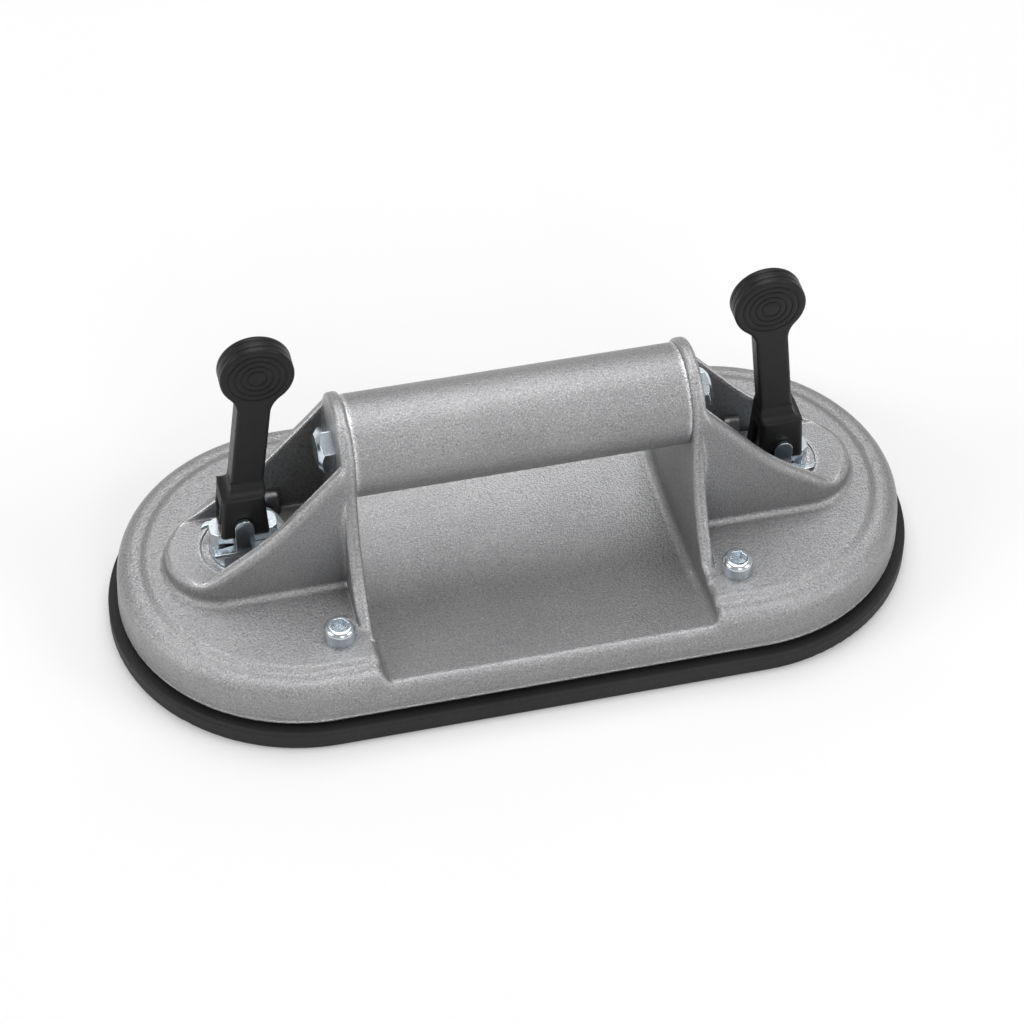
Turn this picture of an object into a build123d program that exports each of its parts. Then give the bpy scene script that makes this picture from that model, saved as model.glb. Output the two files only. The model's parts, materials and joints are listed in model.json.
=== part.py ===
from build123d import *
import math
import os

# Glass suction cup lifter. Millimetres, +Z up, +X along the long axis, -Y is the front.
# The origin is the plan centre of the rubber's underside.

# Plan of the whole lifter, a straight middle with round ends
straight_half = 69.5
casting_radius = 59.3

# Rubber plate
rubber_margin = 3.2
rubber_edge_height = 6.7
rubber_edge_round = 1.2
rubber_land_inset = 2.3
rubber_land_height = 8.8
rubber_web_height = 4.0
seal_lip_width = 9.0
seal_recess_depth = 0.8

# Steel core plate on the rubber web, its windows and its nuts
core_inset = 6.3
core_rim_gap = 0.3
core_thickness = 2.5
core_window_gap = 1.5
nut_across_flats = 10.0
nut_height = 5.0

# Casting shell
casting_wall = 4.0
wall_draft = 0.6
shoulder_round = 5.2
rim_height = 23.0
rim_width = 8.1
deck_step_width = 1.8
deck_step_round = 3.0
deck_height = 24.2
deck_thickness = 5.4

# Hand bay between the arch plates
bay_floor_height = 13.0
bay_lip_height = 20.4
bay_web = 4.0
bay_corner_round = 3.0
bay_edge_round = 2.4

# Arch plates
plate_inner = 53.8
plate_thickness = 4.3
plate_round = 1.4
plate_foot_half_width = 36.5
plate_foot_round = 6.0
arch_radius = 17.5

# Grip
handle_height = 68.0
handle_radius = 16.3
handle_wall = 3.0
plug_length = 16.0
bolt_radius = 4.0
bolt_length = 18.0
bolt_head_across_flats = 13.0
bolt_head_height = 5.3

# Pods
pod_offset = 18.0
pod_half_width = 17.5
pod_end_offset = 26.0
pod_wall = 3.6
pod_edge_round = 2.2
platform_height = 31.0
platform_thickness = 4.5
wing_top = 75.0
wing_points = ((0.25, 59.4), (0.52, 45.3), (0.79, 35.4))
wing_start_slope = -1.25
wing_overrun = 12.9
pod_foot_round = 2.0
spot_face_gap = 0.1
spot_face_depth = 0.5
bush_pocket_depth = 3.0
boss_radius = 12.0

# Cap screws
screw_from_plate = 6.4
screw_from_edge = 20.4
screw_radius = 3.0
screw_head_radius = 5.0
screw_head_height = 5.5
screw_socket_across_flats = 5.0
screw_socket_depth = 2.8
screw_boss_radius = 6.5

# Guide bush: spigot, flange with two flats and a narrower collar with two flats
bush_flange_radius = 10.9
bush_spigot_radius = 8.0
bush_spigot_length = 7.0
collar_radius = 10.8
collar_half_width = 4.0
collar_corner = 1.4
collar_rise = 6.2

# Pin keeper: bent sheet with two ears, a round end towards the grip and two arms away from it
keeper_thickness = 1.4
keeper_radius = 13.6
keeper_gap = 0.1
ear_half_width = 3.0
ear_offset = 0.5
ear_gap = 0.25
arm_width = 3.4
straight_arm_reach = 10.4
curved_arm_reach = 12.6

# Lift mechanism: the left one stands higher out of its pod than the right one
collar_top_left = 41.2
collar_top_right = 36.8
cam_rest_height = 5.4
cam_gap = 0.02
lift = 2.5
fold_angle = 96.5
pin_radius = 2.5
eye_radius = 5.0
stud_radius = 4.5
stud_flat_margin = 3.5
thread_radius = 4.0
blade_half_thickness = 2.5
foot_radius = 19.0
foot_thickness = 2.5
hub_radius = 9.0
hub_height = 5.0

# Lever moulding
lever_lean = 6.5
cheek_half_depth = 6.2
base_half_width = 7.7
base_top_half_width = 6.6
base_height = 10.9
flare_height = 5.0
flare_waist_height = 1.8
fork_height = 6.3
stem_half_width = 5.2
stem_half_depth = 3.5
knob_distance = 59.7
knob_radius = 11.5
knob_groove_width = 0.4
knob_groove_depth = 0.25
knob_groove_offset = 1.3
neck_round = 9.0
lever_round = 0.8
ring_radii = (3.2, 5.2, 7.2, 9.2)
ring_width = 0.5
ring_depth = 0.3

# Return spring
spring_radius = 6.6
spring_wire = 0.8
spring_turns = 3.5

# Clearances
slide_clearance = 0.1
fit_clearance = 0.03
hole_clearance = 0.3

# Sizes that follow from the ones above
rubber_radius = casting_radius + rubber_margin
core_radius = casting_radius - core_inset
rim_inner_radius = casting_radius - rim_width
deck_radius = rim_inner_radius - deck_step_width
plate_outer = plate_inner + plate_thickness
pod_centre = straight_half + pod_offset
pod_end_centre = straight_half + pod_end_offset
wing_end = pod_end_centre + wing_overrun
screw_x = plate_outer + screw_from_plate
screw_y = casting_radius - screw_from_edge
underside = deck_height - deck_thickness
core_top = rubber_web_height + core_thickness
nut_top = core_top + nut_height
bush_seat = platform_height - bush_pocket_depth
bush_bottom = bush_seat - bush_spigot_length
hub_top = rubber_web_height + hub_height
ear_inner = cheek_half_depth + ear_gap
ear_outer = ear_inner + keeper_thickness
cam_rate = lift / math.radians(fold_angle)
lobe_half_depth = collar_half_width + slide_clearance

half_turn = Rot(0, 0, 180)
bottom_up = (Align.CENTER, Align.CENTER, Align.MIN)
top_down = (Align.CENTER, Align.CENTER, Align.MAX)


def stadium(section):
    """Round-ended solid from a half section: x is the distance from the long axis, y the height."""
    side = Rot(0, 0, -90) * (Plane.XZ * section)
    end = Pos(straight_half, 0, 0) * revolve(side, Axis.Z, 180)
    edge = extrude(Pos(-straight_half, 0, 0) * side, 2 * straight_half, dir=(1, 0, 0))
    return end + half_turn * end + edge + half_turn * edge


def slab_section(radius, low, high):
    return make_face(Polyline((0, low), (radius, low), (radius, high), (0, high), close=True))


def both_ends(piece):
    """A piece of the right end and the same piece turned half round for the left end."""
    return piece + half_turn * piece


def at_pod(piece):
    """Moves a piece drawn about a pod's centre, outward along +X, to the right pod."""
    return Pos(pod_centre, 0, 0) * piece


def save(shape, node):
    export_step(shape, "parts/" + node + ".step")


def save_pair(shape, node):
    """Writes a piece of the right end and its half-turned copy for the left end."""
    save(shape, node + "_right")
    save(half_turn * shape, node + "_left")


def save_at_heights(make, node):
    """Writes a piece of the lift mechanism for each pod, made for that pod's collar height."""
    save(at_pod(make(collar_top_right)), node + "_right")
    save(half_turn * at_pod(make(collar_top_left)), node + "_left")


def upright_hexagon(across_flats, height):
    return extrude(RegularPolygon(across_flats / math.sqrt(3), 6), height)


def rubber_plate():
    """Rubber plate with a sealing lip below and a raised land that carries the casting."""
    body = slab_section(rubber_radius, 0, rubber_edge_height)
    body = fillet(body.vertices().group_by(Axis.X)[-1], rubber_edge_round)
    land = slab_section(casting_radius - rubber_land_inset, rubber_web_height, rubber_land_height)
    recess = slab_section(core_radius + core_rim_gap, rubber_web_height, rubber_land_height + 1)
    lip = slab_section(rubber_radius - seal_lip_width, -1, seal_recess_depth)
    return stadium(body + land - recess - lip)


def core_plate():
    """Steel plate that clamps the rubber, with a window for each stud foot."""
    plate = stadium(slab_section(core_radius, rubber_web_height, core_top))
    window = at_pod(Cylinder(foot_radius + core_window_gap, 4 * core_top))
    plate = plate - window - half_turn * window
    for place in screw_places():
        plate = plate - place * Cylinder(screw_radius + hole_clearance, 4 * core_top)
    return plate


def screw_places():
    return [Pos(x, y, 0) for x in (-screw_x, screw_x) for y in (-screw_y, screw_y)]


def weld_nuts():
    nut = upright_hexagon(nut_across_flats, nut_height)
    nut = nut - Cylinder(screw_radius + fit_clearance, 4 * nut_height)
    return Compound([place * Pos(0, 0, core_top) * nut for place in screw_places()])


def cap_screws():
    """Four socket screws with domed heads."""
    head = Cylinder(screw_head_radius, screw_head_height, align=bottom_up)
    head = fillet(head.edges().group_by(Axis.Z)[-1], screw_head_height / 3)
    socket = Pos(0, 0, screw_head_height - screw_socket_depth) * upright_hexagon(
        screw_socket_across_flats, screw_head_height)
    shank = Cylinder(screw_radius, deck_height - core_top, align=top_down)
    screw = head - socket + shank
    return Compound([place * Pos(0, 0, deck_height) * screw for place in screw_places()])


def casting_section():
    """Half section of the casting: drafted wall, round shoulder, rim and a raised deck."""
    wall_top = casting_radius - wall_draft
    outline = Polyline((0, deck_height), (0, rubber_land_height), (casting_radius, rubber_land_height),
                       (wall_top, rim_height), (rim_inner_radius, rim_height), (deck_radius, deck_height),
                       close=True)
    face = make_face(outline)
    shoulder = [v for v in face.vertices() if v.X > rim_inner_radius + 1 and v.Y > rim_height - 1]
    face = fillet(shoulder, shoulder_round)
    step = [v for v in face.vertices() if deck_radius - 0.1 < v.X < rim_inner_radius + 0.1]
    return fillet(step, deck_step_round)


def bay_block(drop, top, half_length):
    """Solid above the dished bay floor, which is lowered by drop."""
    edge = casting_radius + 5
    sag = bay_lip_height - bay_floor_height
    dish = (casting_radius ** 2 + sag ** 2) / (2 * sag)
    side = bay_floor_height + dish - math.sqrt(dish ** 2 - edge ** 2) - drop
    floor = ThreePointArc((-edge, side), (0, bay_floor_height - drop), (edge, side))
    lid = Polyline((edge, side), (edge, top), (-edge, top), (-edge, side))
    return extrude(Pos(-half_length, 0, 0) * (Plane.YZ * make_face(floor + lid)), 2 * half_length)


def bay_mouth(hull):
    """The edges round the bay's mouth: along the deck, over the shoulder and along the two lips."""
    mouth = []
    for edge in hull.edges():
        box = edge.bounding_box()
        along_deck = abs(box.min.X - box.max.X) < 0.01 and abs(abs(box.min.X) - plate_inner) < 0.01
        along_side = min(abs(box.min.Y), abs(box.max.Y)) > casting_radius - shoulder_round - 1
        inside = max(abs(box.min.X), abs(box.max.X)) < plate_inner + 0.01
        if inside and box.min.Z > (bay_floor_height + bay_lip_height) / 2 and (along_deck or along_side):
            mouth.append(edge)
    return mouth


def arch_plate():
    """The right arch plate: round over the grip, with legs that flare to the deck."""
    reach = plate_foot_half_width - arch_radius
    fall = handle_height - deck_height
    leg = (reach ** 2 + fall ** 2) / (2 * reach)
    belly = arch_radius + leg - math.sqrt(leg ** 2 - (fall / 2) ** 2)
    low = underside
    middle = handle_height - fall / 2
    foot = plate_foot_half_width
    outline = ThreePointArc((foot, deck_height), (belly, middle), (arch_radius, handle_height))
    outline += ThreePointArc((arch_radius, handle_height), (0, handle_height + arch_radius),
                             (-arch_radius, handle_height))
    outline += ThreePointArc((-arch_radius, handle_height), (-belly, middle), (-foot, deck_height))
    toe = foot + plate_foot_round
    outline += Polyline((-foot, deck_height), (-toe, deck_height), (-toe, low), (toe, low),
                        (toe, deck_height), (foot, deck_height))
    face = make_face(outline)
    feet = [v for v in face.vertices() if abs(abs(v.X) - foot) < 0.01 and v.Y > low + 1]
    face = fillet(feet, plate_foot_round)
    slab = extrude(Pos(plate_inner, 0, 0) * (Plane.YZ * face), plate_thickness)
    rims = [e for e in slab.edges() if e.geom_type == GeomType.CIRCLE]
    return fillet(rims, plate_round)


def pod_plan(inset):
    """Plan of the right pod, straight from the arch plate and round at the outer end."""
    half = pod_half_width - inset
    start = plate_outer - 1 + inset
    straight = Polyline((pod_end_centre, half), (start, half), (start, -half), (pod_end_centre, -half))
    end = ThreePointArc((pod_end_centre, -half), (pod_end_centre + half, 0), (pod_end_centre, half))
    return make_face(straight + end)


def wing_side():
    """Side form of the right pod: the crest sweeps down from the arch plate and runs out flat."""
    start = plate_outer - 1
    length = wing_end - plate_outer
    points = [(plate_outer + share * length, z) for share, z in wing_points]
    crest = Spline((start, wing_top), *points, (wing_end, platform_height),
                   tangents=((1, wing_start_slope), (1, 0)))
    tip = pod_end_centre + 2 * pod_half_width
    rest = Polyline((wing_end, platform_height), (tip, platform_height), (tip, underside),
                    (start, underside), (start, wing_top))
    return extrude(Plane.XZ * make_face(crest + rest), 2 * pod_half_width, both=True)


def pod():
    """The right pod: a platform with two wing walls, round along every outer edge."""
    block = extrude(Pos(0, 0, underside) * pod_plan(0), wing_top) & wing_side()
    outline = [e for e in block.edges() if e.bounding_box().min.Z > platform_height - 0.1
               and e.center().X > plate_outer]
    block = fillet(outline, pod_edge_round)
    start = plate_outer - 1
    reach = wing_end - start
    crown = along_x(arch_radius, start, reach)
    below = Pos(start, 0, 0) * Box(3 * reach, 2 * pod_half_width, handle_height,
                                   align=(Align.MIN, Align.CENTER, Align.MIN))
    hollow_plan = Rectangle(3 * reach, 2 * (pod_half_width - pod_wall), align=(Align.MIN, Align.CENTER))
    hollow = extrude(Pos(start, 0, platform_height) * hollow_plan, wing_top)
    return (block & (crown + below)) - hollow


def pod_pocket():
    """Hollow under the platform, round the boss that holds the guide bush."""
    roof = platform_height - platform_thickness
    pocket = extrude(Pos(0, 0, underside - 1) * pod_plan(casting_wall), roof - underside + 1)
    return pocket - at_pod(Cylinder(boss_radius, 4 * platform_height))


def body_casting():
    """The cast body: shell, dished hand bay, arch plates and pods in one piece."""
    outer = stadium(casting_section())
    inner = stadium(slab_section(casting_radius - casting_wall, rubber_land_height - 1, underside))
    bulkhead = Pos(plate_inner, 0, rubber_land_height) * Box(
        plate_thickness, 2 * (casting_radius - casting_wall / 2), underside - rubber_land_height + 1,
        align=(Align.MIN, Align.CENTER, Align.MIN))
    web = bay_block(bay_web, underside + 1, plate_outer) & inner
    hull = outer - inner + both_ends(bulkhead) + web
    bay = bay_block(0, 3 * deck_height, plate_inner)
    corners = [e for e in bay.edges() if e.center().Z < deck_height and abs(e.center().X) > plate_inner - 1
               and abs(e.center().Y) < 1]
    hull = hull - fillet(corners, bay_corner_round)
    hull = fillet(bay_mouth(hull), bay_edge_round)
    hull = hull + both_ends(arch_plate() + pod()) - both_ends(pod_pocket())
    feet = [e for e in hull.edges() if abs(e.center().Z - deck_height) < 0.01
            and abs(e.center().X) > plate_outer + 1 and abs(e.center().Y) < pod_half_width + 0.1]
    hull = fillet(feet, pod_foot_round)
    boss = Cylinder(boss_radius, platform_height - 2 - bush_bottom, align=bottom_up)
    hull = hull + both_ends(at_pod(Pos(0, 0, bush_bottom) * boss))
    spot_radius = pod_half_width - pod_wall - spot_face_gap
    spot = Pos(0, 0, platform_height) * Cylinder(spot_radius, 2 * spot_face_depth)
    seat = two_flats(bush_flange_radius + fit_clearance, ear_outer + fit_clearance)
    seat = Pos(0, 0, bush_seat) * extrude(seat, 2 * bush_pocket_depth)
    bore = Cylinder(bush_spigot_radius + fit_clearance, 4 * platform_height)
    hull = hull - both_ends(at_pod(spot + seat + bore))
    screw_boss = Cylinder(screw_boss_radius, underside + 1 - nut_top, align=bottom_up)
    for place in screw_places():
        hull = hull + place * Pos(0, 0, nut_top) * screw_boss
        hull = hull - place * Cylinder(screw_radius + hole_clearance, 4 * deck_height)
    return hull - along_x(bolt_radius + hole_clearance, -plate_outer - 1, 2 * plate_outer + 2)


def along_x(radius, start, length):
    """Cylinder on the grip axis that starts at x = start."""
    return Pos(start, 0, handle_height) * Rot(0, 90, 0) * Cylinder(radius, length, align=bottom_up)


def handle_tube():
    outer = along_x(handle_radius, -plate_inner, 2 * plate_inner)
    return outer - along_x(handle_radius - handle_wall, -plate_inner - 1, 2 * plate_inner + 2)


def handle_plug():
    """Plug in the right end of the grip, threaded for the bolt."""
    start = plate_inner - plug_length
    plug = along_x(handle_radius - handle_wall - fit_clearance, start, plug_length)
    plug = chamfer(plug.edges().group_by(Axis.X)[0], 1)
    return plug - along_x(bolt_radius + fit_clearance, start - 1, plug_length + 2)


def handle_bolt():
    """Hexagon bolt through the right arch plate, its head on the outer face."""
    head = upright_hexagon(bolt_head_across_flats, bolt_head_height)
    crown = Cone(bolt_head_across_flats / 2 + 5.2, bolt_head_across_flats / 2 - 1.2, bolt_head_height,
                 align=bottom_up)
    head = Pos(plate_outer, 0, handle_height) * Rot(0, 90, 0) * (head & crown)
    return head + along_x(bolt_radius, plate_outer - bolt_length, bolt_length)


def two_flats(radius, half_width):
    return Circle(radius) & Rectangle(2 * radius + 2, 2 * half_width)


def guide_bush(collar_top):
    """Flanged bush in the platform, its two-flat collar carries the cam."""
    spigot = Pos(0, 0, bush_seat) * Cylinder(bush_spigot_radius, bush_spigot_length, align=top_down)
    flange_top = collar_top - collar_rise
    flange = extrude(two_flats(bush_flange_radius, ear_outer), flange_top - bush_seat)
    flange = Pos(0, 0, bush_seat) * flange
    collar = extrude(Pos(0, 0, flange_top) * two_flats(collar_radius, collar_half_width), collar_rise)
    collar = chamfer(collar.edges().filter_by(Axis.Z), collar_corner)
    bore = Pos(0, 0, bush_bottom) * Cylinder(stud_radius + slide_clearance, collar_top, align=bottom_up)
    slot = bore & Box(4 * stud_radius, 2 * (blade_half_thickness + slide_clearance), 4 * collar_top)
    low_bore = bore & (Pos(0, 0, bush_seat) * Cylinder(bush_flange_radius, collar_top, align=top_down))
    return spigot + flange + collar - slot - low_bore


def keeper_arms():
    """Plan of the two arms, which lie in line with the ears: one straight, one with a curved tip."""
    inner = ear_outer - arm_width
    straight = make_face(Polyline((0, ear_outer), (straight_arm_reach, ear_outer),
                                  (straight_arm_reach, inner + arm_width / 3), (ear_half_width, inner),
                                  (0, inner), close=True))
    bend = curved_arm_reach - arm_width
    outer_edge = Line((0, -ear_outer), (bend, -ear_outer))
    outer_edge += ThreePointArc((bend, -ear_outer),
                                (curved_arm_reach - arm_width / 4, -ear_outer + arm_width / 4),
                                (curved_arm_reach, -inner - arm_width / 4))
    inner_edge = ThreePointArc((curved_arm_reach, -inner - arm_width / 4), (bend, -inner - arm_width / 2),
                               (2 * ear_half_width, -inner))
    close_edge = Polyline((2 * ear_half_width, -inner), (0, -inner), (0, -ear_outer))
    return straight + make_face(outer_edge + inner_edge + close_edge)


def pin_keeper(collar_top):
    """Bent sheet keeper on the bush's flange, with its two ears over the pin ends."""
    seat = collar_top - collar_rise
    half = ear_half_width + ear_offset
    inward = Pos(-keeper_radius - half / 2, 0) * Rectangle(2 * keeper_radius, 4 * keeper_radius)
    disc = Circle(keeper_radius) & inward
    strap = Pos(ear_offset / 2, 0) * Rectangle(2 * half, 2 * ear_outer)
    hole = two_flats(collar_radius + keeper_gap, collar_half_width + keeper_gap)
    plate = extrude(Pos(0, 0, seat) * (disc + strap + keeper_arms() - hole), keeper_thickness)
    rise = collar_top + cam_rest_height - seat
    tongue = Pos(ear_offset, rise / 2) * Rectangle(2 * ear_half_width, rise)
    tongue = tongue + Pos(ear_offset, rise) * Circle(ear_half_width)
    tongue = extrude(Plane.XZ * tongue, keeper_thickness / 2, both=True)
    middle = (ear_inner + ear_outer) / 2
    for side in (-1, 1):
        plate = plate + Pos(0, side * middle, seat) * tongue
    return plate


def lift_stud(collar_top):
    """Stud with a flat eye on top and a round threaded lower end."""
    pivot = collar_top + cam_rest_height
    shank = Pos(0, 0, hub_top) * Cylinder(stud_radius, pivot - hub_top, align=bottom_up)
    eye = Pos(0, 0, pivot) * Rot(90, 0, 0) * Cylinder(eye_radius, 2 * blade_half_thickness)
    flats = Box(4 * stud_radius, 2 * blade_half_thickness, 4 * pivot)
    below = Pos(0, 0, bush_seat - stud_flat_margin) * Cylinder(stud_radius, pivot, align=top_down)
    thread = Pos(0, 0, hub_top) * Cylinder(thread_radius, foot_thickness + hub_height / 4, align=top_down)
    pin_hole = Pos(0, 0, pivot) * Rot(90, 0, 0) * Cylinder(pin_radius + fit_clearance, 4 * stud_radius)
    return (shank & (flats + below)) + eye + thread - pin_hole


def stud_foot():
    """Steel disc with a hub, on the rubber web at the stud's lower end."""
    disc = Pos(0, 0, rubber_web_height) * Cylinder(foot_radius, foot_thickness, align=bottom_up)
    hub = Pos(0, 0, rubber_web_height) * Cylinder(hub_radius, hub_height, align=bottom_up)
    return disc + hub - Cylinder(thread_radius + fit_clearance, 4 * foot_radius)


def return_spring():
    """Helical spring between the stud foot's hub and the guide bush."""
    start = hub_top + spring_wire
    height = bush_bottom - spring_wire - start
    path = Pos(0, 0, start) * Helix(height / spring_turns, height, spring_radius)
    wire = Plane(path @ 0, z_dir=path % 0) * Circle(spring_wire)
    return sweep(wire, path, is_frenet=True)


def pivot_pin(collar_top):
    pin = Rot(90, 0, 0) * Cylinder(pin_radius, 2 * cheek_half_depth)
    pin = Pos(0, 0, collar_top + cam_rest_height) * pin
    return chamfer(pin.edges().filter_by(GeomType.CIRCLE), pin_radius / 6)


def cam_point(angle):
    """Point of the involute lift cam, seen from the pivot, that rides the flat at a fold angle."""
    reach = cam_rest_height - cam_gap + cam_rate * angle
    out = (math.sin(angle), -math.cos(angle))
    along = (math.cos(angle), math.sin(angle))
    return (reach * out[0] + cam_rate * along[0], reach * out[1] + cam_rate * along[1])


def cam_outline():
    """Outline of the cam lobes: a flat to stand on, the involute, a flat for the folded lever."""
    steps = 8
    end_angle = math.radians(fold_angle)
    start = cam_point(0)
    end = cam_point(end_angle)
    curve = Spline(*[cam_point(end_angle * i / steps) for i in range(steps + 1)])
    rise = base_height - end[1]
    top = (end[0] - rise * math.tan(end_angle - math.pi / 2), base_height)
    rest = Polyline(end, top, (-base_top_half_width, base_height), (-base_half_width, start[1]), start)
    return make_face(curve + rest)


def lever(collar_top):
    """Moulded thumb lever: forked foot with the cam, leaning stem and a ringed thumb disc."""
    foot_level = slide_clearance - cam_rest_height
    skin = Polyline((-base_half_width, foot_level), (base_half_width, foot_level),
                    (base_top_half_width, base_height), (-base_top_half_width, base_height), close=True)
    cheeks = extrude(Plane.XZ * make_face(skin), cheek_half_depth, both=True)
    cheeks = chamfer(cheeks.edges().filter_by(Axis.Z, tolerance=8), lever_round)
    core = Rectangle(4 * base_half_width, 4 * base_height)
    cheeks = cheeks - extrude(Plane.XZ * core, lobe_half_depth, both=True)
    lobes = extrude(Plane.XZ * cam_outline(), lobe_half_depth, both=True)
    lean = Rot(0, -lever_lean, 0)
    foot_face = Pos(0, 0, base_height) * Rectangle(2 * base_top_half_width, 2 * cheek_half_depth)
    stem_level = base_height + flare_height
    stem_base = stem_level * math.tan(math.radians(lever_lean))
    stem_face = Pos(-stem_base, 0, stem_level) * Rectangle(2 * stem_half_width, 2 * stem_half_depth)
    waist_half_width = (base_top_half_width + 2 * stem_half_width) / 3
    waist_half_depth = (cheek_half_depth + 2 * stem_half_depth) / 3
    waist_face = Pos(-stem_base * 0.8, 0, base_height + flare_waist_height) * Rectangle(
        2 * waist_half_width, 2 * waist_half_depth)
    flare = loft([foot_face, waist_face, stem_face])
    outline = Pos(0, (stem_level + knob_distance) / 2, 0) * Rectangle(
        2 * stem_half_width, knob_distance - stem_level)
    outline = outline + Pos(0, knob_distance, 0) * Circle(knob_radius)
    neck = [v for v in outline.vertices() if v.Y > stem_level + 5]
    outline = fillet(neck, neck_round)
    arm = extrude(Plane.XZ * outline, stem_half_depth, both=True)
    rims = [e for e in arm.edges() if abs(e.center().Y) > stem_half_depth - 0.1
            and e.center().Z > stem_level + 3]
    arm = fillet(rims, lever_round)
    for radius in ring_radii:
        ring = extrude(Plane.XZ * (Circle(radius) - Circle(radius - ring_width)), ring_depth, both=True)
        for side in (-1, 1):
            arm = arm - Pos(0, side * stem_half_depth, knob_distance) * ring
    groove = Circle(knob_radius + 1) - Circle(knob_radius - knob_groove_depth)
    groove = groove & (Pos(0, knob_radius / 2) * Rectangle(4 * knob_radius, 2 * knob_radius))
    for side in (-1, 1):
        place = Pos(0, side * knob_groove_offset, knob_distance)
        arm = arm - place * extrude(Plane.XZ * groove, knob_groove_width / 2, both=True)
    body = cheeks + lobes + flare + lean * arm
    slot = Pos(0, 0, fork_height) * Box(4 * base_half_width, 2 * (blade_half_thickness + slide_clearance),
                                        4 * fork_height, align=top_down)
    hole = Rot(90, 0, 0) * Cylinder(pin_radius + fit_clearance, 4 * cheek_half_depth)
    return Pos(0, 0, collar_top + cam_rest_height) * (body - slot - hole)


if __name__ == "__main__":
    os.makedirs("parts", exist_ok=True)
    save(body_casting(), "body_casting")
    save(rubber_plate(), "rubber_plate")
    save(core_plate(), "core_plate")
    save(weld_nuts(), "weld_nuts")
    save(cap_screws(), "cap_screws")
    save(handle_tube(), "handle_tube")
    save_pair(handle_plug(), "handle_plug")
    save_pair(handle_bolt(), "handle_bolt")
    save_at_heights(guide_bush, "guide_bush")
    save_at_heights(pin_keeper, "pin_keeper")
    save_at_heights(lift_stud, "lift_stud")
    save_at_heights(pivot_pin, "pivot_pin")
    save_at_heights(lever, "lever")
    save_pair(at_pod(stud_foot()), "stud_foot")
    save_pair(at_pod(return_spring()), "return_spring")
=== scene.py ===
import json
import math

import bpy
from mathutils import Matrix, Vector


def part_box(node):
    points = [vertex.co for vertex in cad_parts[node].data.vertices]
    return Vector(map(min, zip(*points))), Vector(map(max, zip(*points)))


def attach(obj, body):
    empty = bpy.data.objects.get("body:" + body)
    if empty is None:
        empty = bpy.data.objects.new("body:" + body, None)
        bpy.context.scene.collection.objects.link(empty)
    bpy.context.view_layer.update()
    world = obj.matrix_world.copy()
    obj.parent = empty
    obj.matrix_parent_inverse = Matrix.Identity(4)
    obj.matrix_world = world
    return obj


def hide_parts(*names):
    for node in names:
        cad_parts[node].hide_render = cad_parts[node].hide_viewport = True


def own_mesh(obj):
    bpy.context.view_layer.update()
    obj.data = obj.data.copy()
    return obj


# Glass suction cup lifter: camera, light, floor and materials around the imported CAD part. Metres.

# The photograph's camera: angles in degrees, the sensor in millimetres
CAM_AZIMUTH = 14.389
CAM_ELEVATION = 46.230
CAM_ROLL = 1.138
CAM_DISTANCE = 1.1311
CAM_TARGET = (0.0062, 0.0240, 0.0)
CAM_CLIP_END = 10.0
IMAGE_SIZE = 1024
SENSOR = 36.0
# The fitted focal length in pixels, for each millimetre of distance
FOCAL_PER_DISTANCE = 3.0

# Studio: name, place, aim, size and watts of each square soft light
LIGHTS = (
    ("top_soft", (0.06, 0.36, 1.3), (0, 0, 0), 1.0, 11.5),
    ("back_soft", (0.1, 1.3, 1.2), (0, 0, 0.03), 0.9, 1),
    ("left_soft", (-1.3, -0.1, 0.8), (0, 0, 0.03), 0.6, 6.5),
    ("right_soft", (1.2, -0.7, 0.9), (0, 0, 0.03), 0.6, 7),
    ("front_soft", (0.1, -1.5, 0.9), (0, 0, 0.03), 0.5, 4),
)
WORLD_STRENGTH = 0.44
FLOOR_HALF = 4.0
FLOOR_DROP = 0.0002
FLOOR_GLOW = 0.19

# Scale of the cast metal's grain noise
CAST_GRAIN = 1550.0

# Samples of the bevel and occlusion nodes
EDGE_SAMPLES = 6

# Return springs: wire radius in metres, then the helix turns and its mesh steps
SPRING_WIRE = 0.0008
SPRING_TURNS = 3.5
SPRING_RINGS = 56
WIRE_SIDES = 10

# Cast pads inside the pods, low on the wings' inner faces, in millimetres
PAD_NEAR = 73.7
PAD_FAR = 79.0
PAD_INNER = 11.2
PAD_WALL = 14.3
PAD_FLOOR = 30.7
PAD_TOP = 39.6
PAD_ROUND = 1.1
ROUND_STEPS = 4

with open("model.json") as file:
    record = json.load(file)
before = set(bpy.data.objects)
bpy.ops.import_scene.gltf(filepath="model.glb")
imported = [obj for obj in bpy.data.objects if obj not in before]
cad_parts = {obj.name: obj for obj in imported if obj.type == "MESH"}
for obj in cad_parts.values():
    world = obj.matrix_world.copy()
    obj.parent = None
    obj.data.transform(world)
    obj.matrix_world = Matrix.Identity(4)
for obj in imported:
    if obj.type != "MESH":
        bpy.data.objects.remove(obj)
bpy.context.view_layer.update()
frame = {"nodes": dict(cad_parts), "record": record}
nodes = frame["nodes"]
scene = bpy.context.scene


def link(obj):
    scene.collection.objects.link(obj)
    return obj


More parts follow.
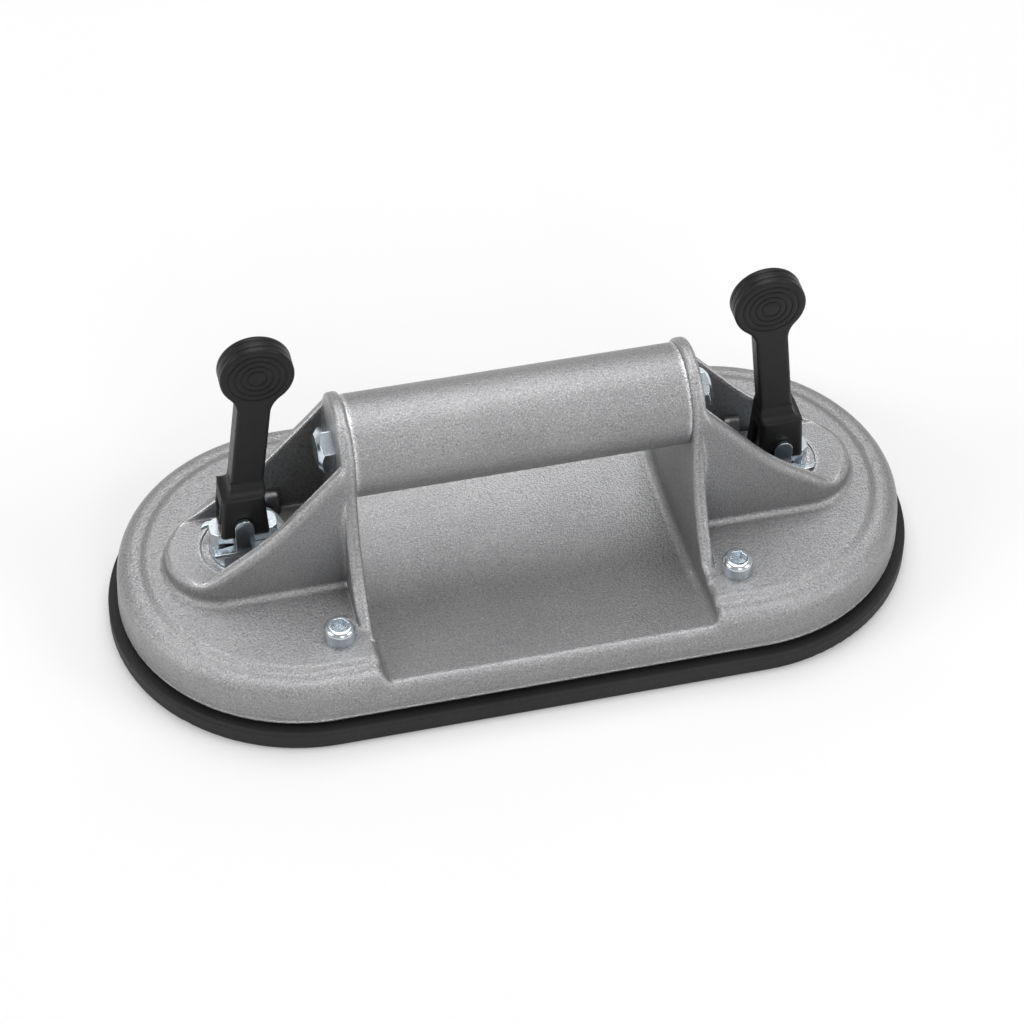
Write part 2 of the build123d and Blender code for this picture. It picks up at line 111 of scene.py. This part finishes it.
def make_camera():
    """The photograph's camera, from its azimuth, elevation, roll and distance."""
    az, el, roll = (math.radians(v) for v in (CAM_AZIMUTH, CAM_ELEVATION, CAM_ROLL))
    back = Vector((-math.sin(az) * math.cos(el), -math.cos(az) * math.cos(el), math.sin(el)))
    right = Vector((math.cos(az), -math.sin(az), 0.0))
    up = back.cross(right)
    right_rolled = right * math.cos(roll) + up * math.sin(roll)
    up_rolled = up * math.cos(roll) - right * math.sin(roll)
    data = bpy.data.cameras.new("camera")
    data.sensor_width = SENSOR
    data.lens = FOCAL_PER_DISTANCE * CAM_DISTANCE * 1000 / IMAGE_SIZE * SENSOR
    data.clip_end = CAM_CLIP_END
    camera = link(bpy.data.objects.new("camera", data))
    axes = Matrix((right_rolled, up_rolled, back)).transposed().to_4x4()
    axes.translation = Vector(CAM_TARGET) + back * CAM_DISTANCE
    camera.matrix_world = axes
    scene.camera = camera


def area_light(name, place, aim, size, watts):
    """A square soft light that faces the aim."""
    data = bpy.data.lights.new(name, "AREA")
    data.shape = "RECTANGLE"
    data.size = size
    data.size_y = size
    data.energy = watts
    light = link(bpy.data.objects.new(name, data))
    light.location = place
    light.rotation_euler = (Vector(aim) - Vector(place)).to_track_quat("-Z", "Y").to_euler()


class Nodes:
    """A material's node tree with short helpers."""

    def __init__(self, name):
        self.material = bpy.data.materials.new(name)
        self.material.use_nodes = True
        self.tree = self.material.node_tree
        self.shader = self.tree.nodes["Principled BSDF"]
        self.place = self.add("ShaderNodeTexCoord").outputs["Object"]

    def add(self, kind, **values):
        node = self.tree.nodes.new(kind)
        for key, value in values.items():
            setattr(node, key, value)
        return node

    def join(self, source, target):
        self.tree.links.new(source, target)

    def noise(self, scale, detail=2.0, roughness=0.5, stretch=None):
        node = self.add("ShaderNodeTexNoise")
        node.inputs["Scale"].default_value = scale
        node.inputs["Detail"].default_value = detail
        node.inputs["Roughness"].default_value = roughness
        source = self.place
        if stretch:
            mapping = self.add("ShaderNodeMapping")
            mapping.inputs["Scale"].default_value = stretch
            self.join(source, mapping.inputs["Vector"])
            source = mapping.outputs["Vector"]
        self.join(source, node.inputs["Vector"])
        return node.outputs["Fac"]

    def ramp(self, source, low, high, from_low=0.3, from_high=0.7):
        """The source's span from_low to from_high, mapped to low to high."""
        node = self.add("ShaderNodeMapRange")
        node.inputs["From Min"].default_value = from_low
        node.inputs["From Max"].default_value = from_high
        node.inputs["To Min"].default_value = low
        node.inputs["To Max"].default_value = high
        self.join(source, node.inputs["Value"])
        return node.outputs["Result"]

    def math(self, operation, a, b):
        node = self.add("ShaderNodeMath", operation=operation)
        for socket, value in zip(node.inputs, (a, b)):
            if isinstance(value, (int, float)):
                socket.default_value = value
            else:
                self.join(value, socket)
        return node.outputs["Value"]

    def mix(self, factor, low, high):
        node = self.add("ShaderNodeMix", data_type="RGBA")
        self.join(factor, node.inputs["Factor"])
        for socket, value in ((node.inputs["A"], low), (node.inputs["B"], high)):
            if isinstance(value, tuple):
                socket.default_value = (*value, 1.0)
            else:
                self.join(value, socket)
        return node.outputs["Result"]

    def bump(self, height, distance, strength=1.0, normal=None):
        node = self.add("ShaderNodeBump")
        node.inputs["Strength"].default_value = strength
        node.inputs["Distance"].default_value = distance
        self.join(height, node.inputs["Height"])
        if normal is not None:
            self.join(normal, node.inputs["Normal"])
        return node.outputs["Normal"]

    def soft_normal(self, radius):
        """The surface normal with every edge rounded by the given radius."""
        bevel = self.add("ShaderNodeBevel", samples=EDGE_SAMPLES)
        bevel.inputs["Radius"].default_value = radius
        return bevel.outputs["Normal"]

    def painted_shade_mask(self, distance, low, high):
        """Mask for painted shade: 0 deep in corners and sockets, 1 on open surfaces."""
        occlusion = self.add("ShaderNodeAmbientOcclusion", samples=EDGE_SAMPLES)
        occlusion.inputs["Distance"].default_value = distance
        return self.ramp(occlusion.outputs["AO"], 0.0, 1.0, low, high)

    def edge_mask(self, radius, low, high):
        """1 along sharp edges and 0 on open surfaces, from the bevel shader's turned normal."""
        geometry = self.add("ShaderNodeNewGeometry")
        dot = self.add("ShaderNodeVectorMath", operation="DOT_PRODUCT")
        self.join(self.soft_normal(radius), dot.inputs[0])
        self.join(geometry.outputs["Normal"], dot.inputs[1])
        turned = self.math("SUBTRACT", 1.0, dot.outputs["Value"])
        return self.ramp(turned, 0.0, 1.0, low, high)

    def set(self, **values):
        """Sets or joins the shader's sockets and returns the material."""
        for key, value in values.items():
            socket = self.shader.inputs[key.replace("_", " ")]
            if isinstance(value, (float, int)):
                socket.default_value = value
            elif isinstance(value, tuple):
                socket.default_value = (*value, 1.0)
            else:
                self.join(value, socket)
        return self.material


def cast_aluminium():
    """Tumbled cast aluminium: a fine pebbled skin, soft mottling, bright edges that are partly wear and
    partly painted highlight, and painted shade in its corners.
    """
    n = Nodes("cast_aluminium")
    pebble = n.noise(CAST_GRAIN, 3.0, 0.55)
    fleck = n.noise(1.7 * CAST_GRAIN, 2.0, 0.5)
    mottle = n.noise(38.0, 3.0, 0.5)
    broad = n.noise(9.0, 2.0, 0.5)
    # Bright edge mask: partly real wear on convex edges, partly a painted highlight along the rounds and
    # the concave foot lines.
    wear_and_highlight = n.edge_mask(0.0030, 0.018, 0.12)
    patchy = n.math("MULTIPLY", wear_and_highlight, n.ramp(pebble, 0.35, 1.0, 0.35, 0.58))
    tone = n.mix(n.ramp(mottle, 0.0, 1.0, 0.32, 0.68), (0.298, 0.298, 0.303), (0.350, 0.350, 0.355))
    tone = n.mix(n.ramp(broad, 0.0, 0.35, 0.35, 0.65), tone, (0.25, 0.25, 0.255))
    tone = n.mix(n.ramp(fleck, 0.0, 0.50, 0.53, 0.66), tone, (0.66, 0.66, 0.67))
    tone = n.mix(n.ramp(pebble, 0.60, 0.0, 0.34, 0.48), tone, (0.17, 0.17, 0.175))
    # Painted highlight and wear: near-white colour along the edges.
    tone = n.mix(patchy, tone, (0.98, 0.98, 0.99))
    # Painted shade: darker in corners and recesses, a broad and a tight pass.
    tone = n.mix(n.painted_shade_mask(0.025, 0.0, 0.5), (0.17, 0.17, 0.175), tone)
    tone = n.mix(n.painted_shade_mask(0.006, 0.15, 0.6), (0.12, 0.12, 0.125), tone)
    rough = n.math("SUBTRACT", n.ramp(fleck, 0.38, 0.48), n.math("MULTIPLY", wear_and_highlight, 0.23))
    normal = n.bump(pebble, 0.00032, 0.9, n.soft_normal(0.0008))
    normal = n.bump(fleck, 0.00006, 0.6, normal)
    return n.set(Base_Color=tone, Metallic=0.78, Roughness=rough, Normal=normal)


def black_rubber():
    """Matt black rubber, faintly clouded in tone and lighter along its edges, a painted highlight."""
    n = Nodes("black_rubber")
    fine = n.noise(1500.0, 2.0)
    cloud = n.noise(40.0, 2.0)
    tone = n.mix(n.ramp(cloud, 0.0, 1.0), (0.010, 0.010, 0.011), (0.016, 0.016, 0.017))
    # Painted highlight: the edges lighter in colour.
    wear_and_highlight = n.edge_mask(0.0012, 0.03, 0.3)
    tone = n.mix(n.math("MULTIPLY", wear_and_highlight, 0.6), tone, (0.030, 0.030, 0.031))
    rough = n.ramp(fine, 0.55, 0.7)
    return n.set(Base_Color=tone, Roughness=rough, Specular_IOR_Level=0.35,
                 Normal=n.bump(fine, 0.00005, 0.3, n.soft_normal(0.0006)))


def black_plastic():
    """Black moulded plastic with a faint grain and edges that catch the light."""
    n = Nodes("black_plastic")
    fine = n.noise(1200.0, 2.0)
    cloud = n.noise(60.0, 2.0)
    tone = n.mix(n.ramp(cloud, 0.0, 1.0), (0.0065, 0.0065, 0.0066), (0.011, 0.011, 0.011))
    # Painted highlight: the edges lighter in colour.
    wear_and_highlight = n.edge_mask(0.0010, 0.03, 0.4)
    tone = n.mix(n.math("MULTIPLY", wear_and_highlight, 0.6), tone, (0.035, 0.035, 0.036))
    rough = n.ramp(fine, 0.34, 0.46)
    return n.set(Base_Color=tone, Roughness=rough, Specular_IOR_Level=0.27,
                 Normal=n.bump(fine, 0.00004, 0.35, n.soft_normal(0.0014)))


def zinc_plate():
    """Bright zinc plate: smooth and faintly clouded, with painted shade in its corners and a painted
    highlight along its edges.
    """
    n = Nodes("zinc_plate")
    cloud = n.noise(160.0, 2.0)
    scratches = n.noise(900.0, 2.0, 0.5, (1.0, 1.0, 10.0))
    tone = n.mix(n.ramp(cloud, 0.0, 1.0), (0.62, 0.69, 0.74), (0.76, 0.82, 0.86))
    # Painted highlight: the edges lighter in colour.
    wear_and_highlight = n.edge_mask(0.0005, 0.03, 0.4)
    tone = n.mix(n.math("MULTIPLY", wear_and_highlight, 0.6), tone, (0.92, 0.93, 0.95))
    # Painted shade: dark in corners and sockets.
    tone = n.mix(n.painted_shade_mask(0.0025, 0.1, 0.45), (0.10, 0.11, 0.12), tone)
    rough = n.ramp(scratches, 0.16, 0.26)
    return n.set(Base_Color=tone, Metallic=1.0, Roughness=rough,
                 Normal=n.bump(scratches, 0.00001, 0.2, n.soft_normal(0.0003)))


def plain_steel():
    """Bare steel with a faint brushed grain."""
    n = Nodes("plain_steel")
    cloud = n.noise(120.0, 3.0)
    brushed = n.noise(500.0, 2.0, 0.5, (1.0, 12.0, 1.0))
    tone = n.mix(n.ramp(cloud, 0.0, 1.0), (0.34, 0.34, 0.34), (0.46, 0.46, 0.46))
    rough = n.ramp(brushed, 0.3, 0.5)
    return n.set(Base_Color=tone, Metallic=1.0, Roughness=rough, Normal=n.bump(brushed, 0.00003, 0.3))


def make_stage():
    """Pale floor that comes out white in the studio light and keeps the soft contact shadow."""
    mesh = bpy.data.meshes.new("floor")
    corners = [(x * FLOOR_HALF, y * FLOOR_HALF, 0) for x, y in ((-1, -1), (1, -1), (1, 1), (-1, 1))]
    mesh.from_pydata(corners, [], [(0, 1, 2, 3)])
    floor = link(bpy.data.objects.new("floor", mesh))
    floor.location.z = -FLOOR_DROP
    n = Nodes("floor_white")
    cloud = n.noise(3.0)
    tone = n.mix(n.ramp(cloud, 0.0, 1.0), (0.61, 0.61, 0.61), (0.63, 0.63, 0.63))
    mesh.materials.append(n.set(Base_Color=tone, Roughness=0.9, Specular_IOR_Level=0.1,
                                Emission_Color=(1.0, 1.0, 1.0), Emission_Strength=FLOOR_GLOW))


def make_light():
    """An even white world and the soft lights."""
    world = bpy.data.worlds.new("studio")
    world.use_nodes = True
    background = world.node_tree.nodes["Background"]
    background.inputs["Color"].default_value = (1.0, 1.0, 1.0, 1.0)
    background.inputs["Strength"].default_value = WORLD_STRENGTH
    scene.world = world
    for values in LIGHTS:
        area_light(*values)


def spring_mesh(name, low, high, start_turn):
    """A helical wire that fills the box from low to high."""
    radius = (high[0] - low[0]) / 2 - SPRING_WIRE
    centre = Vector(((low[0] + high[0]) / 2, (low[1] + high[1]) / 2, low[2] + SPRING_WIRE))
    height = high[2] - low[2] - 2 * SPRING_WIRE
    verts = []
    for i in range(SPRING_RINGS + 1):
        share = i / SPRING_RINGS
        turn = start_turn + 2 * math.pi * SPRING_TURNS * share
        out = Vector((math.cos(turn), math.sin(turn), 0.0))
        point = centre + out * radius + Vector((0, 0, height * share))
        for k in range(WIRE_SIDES):
            side = 2 * math.pi * k / WIRE_SIDES
            verts.append(point + (out * math.cos(side) + Vector((0, 0, 1)) * math.sin(side)) * SPRING_WIRE)
    faces = []
    for i in range(SPRING_RINGS):
        for k in range(WIRE_SIDES):
            a = i * WIRE_SIDES + k
            b = i * WIRE_SIDES + (k + 1) % WIRE_SIDES
            faces.append((a, a + WIRE_SIDES, b + WIRE_SIDES, b))
    faces.append(tuple(range(WIRE_SIDES)))
    faces.append(tuple(SPRING_RINGS * WIRE_SIDES + k for k in reversed(range(WIRE_SIDES))))
    mesh = bpy.data.meshes.new(name)
    mesh.from_pydata(verts, [], faces)
    for polygon in mesh.polygons:
        polygon.use_smooth = len(polygon.vertices) == 4
    return mesh


def make_springs():
    """Helical springs under the bush, in place of the rigid ones."""
    for side, start_turn in (("right", 0.0), ("left", math.pi)):
        node = "return_spring_" + side
        low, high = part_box(node)
        mesh = spring_mesh("spring_" + side, low, high, start_turn)
        mesh.materials.append(LOOKS["plain_steel"])
        spring = link(bpy.data.objects.new("spring_" + side, mesh))
        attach(spring, "base")
        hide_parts(node)
        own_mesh(spring)


def pad_mesh(name):
    """A short cast pad that grows out of a wing's inner face, round along its three free edges."""
    rings = []
    for i in range(ROUND_STEPS + 1):
        turn = math.pi / 2 * i / ROUND_STEPS
        inset = PAD_ROUND * (1 - math.cos(turn))
        z = PAD_TOP - PAD_ROUND * (1 - math.sin(turn))
        rings.append((inset, z))
    rings.insert(0, (-PAD_ROUND / 2, PAD_FLOOR))
    verts = []
    for inset, z in rings:
        for corner in range(ROUND_STEPS + 1):
            turn = math.pi / 2 * corner / ROUND_STEPS
            grow = PAD_ROUND - inset
            x = PAD_NEAR + PAD_ROUND - grow * math.cos(turn)
            y = PAD_INNER + PAD_ROUND - grow * math.sin(turn)
            verts.append((x, y, z))
        verts.append((PAD_FAR, PAD_INNER + inset, z))
        verts.append((PAD_FAR, PAD_WALL, z))
        verts.append((PAD_NEAR + inset, PAD_WALL, z))
    count = ROUND_STEPS + 4
    faces = []
    for ring in range(len(rings) - 1):
        for i in range(count):
            a = ring * count + i
            b = ring * count + (i + 1) % count
            faces.append((a, b, b + count, a + count))
    faces.append(tuple((len(rings) - 1) * count + i for i in range(count)))
    faces.append(tuple(reversed(range(count))))
    mesh = bpy.data.meshes.new(name)
    mesh.from_pydata([(x / 1000, y / 1000, z / 1000) for x, y, z in verts], [], faces)
    return mesh


def make_pads():
    """Four pads, one on each wing's inner face."""
    mesh = pad_mesh("pocket_pad")
    for name, sx, sy in (("pad_right_back", 1, 1), ("pad_right_front", 1, -1),
                         ("pad_left_back", -1, 1), ("pad_left_front", -1, -1)):
        own = mesh.copy()
        own.name = name
        for vertex in own.vertices:
            vertex.co.x *= sx
            vertex.co.y *= sy
        if sx * sy > 0:
            own.flip_normals()
        for polygon in own.polygons:
            polygon.use_smooth = True
        own.materials.append(LOOKS["cast_body"])
        pad = link(bpy.data.objects.new(name, own))
        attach(pad, "base")
    bpy.data.meshes.remove(mesh)


# The material of each slot that the record names
LOOKS = {
    "cast_body": cast_aluminium(),
    "black_rubber": black_rubber(),
    "plain_steel": plain_steel(),
    "zinc_steel": zinc_plate(),
    "black_plastic": black_plastic(),
}

for part in frame["record"]["subparts"]:
    obj = nodes[part["node"]]
    for slot in obj.material_slots:
        slot.material = LOOKS[part["material_slot"]]

make_pads()
make_springs()
make_camera()
make_stage()
make_light()
scene.view_settings.view_transform = "Standard"
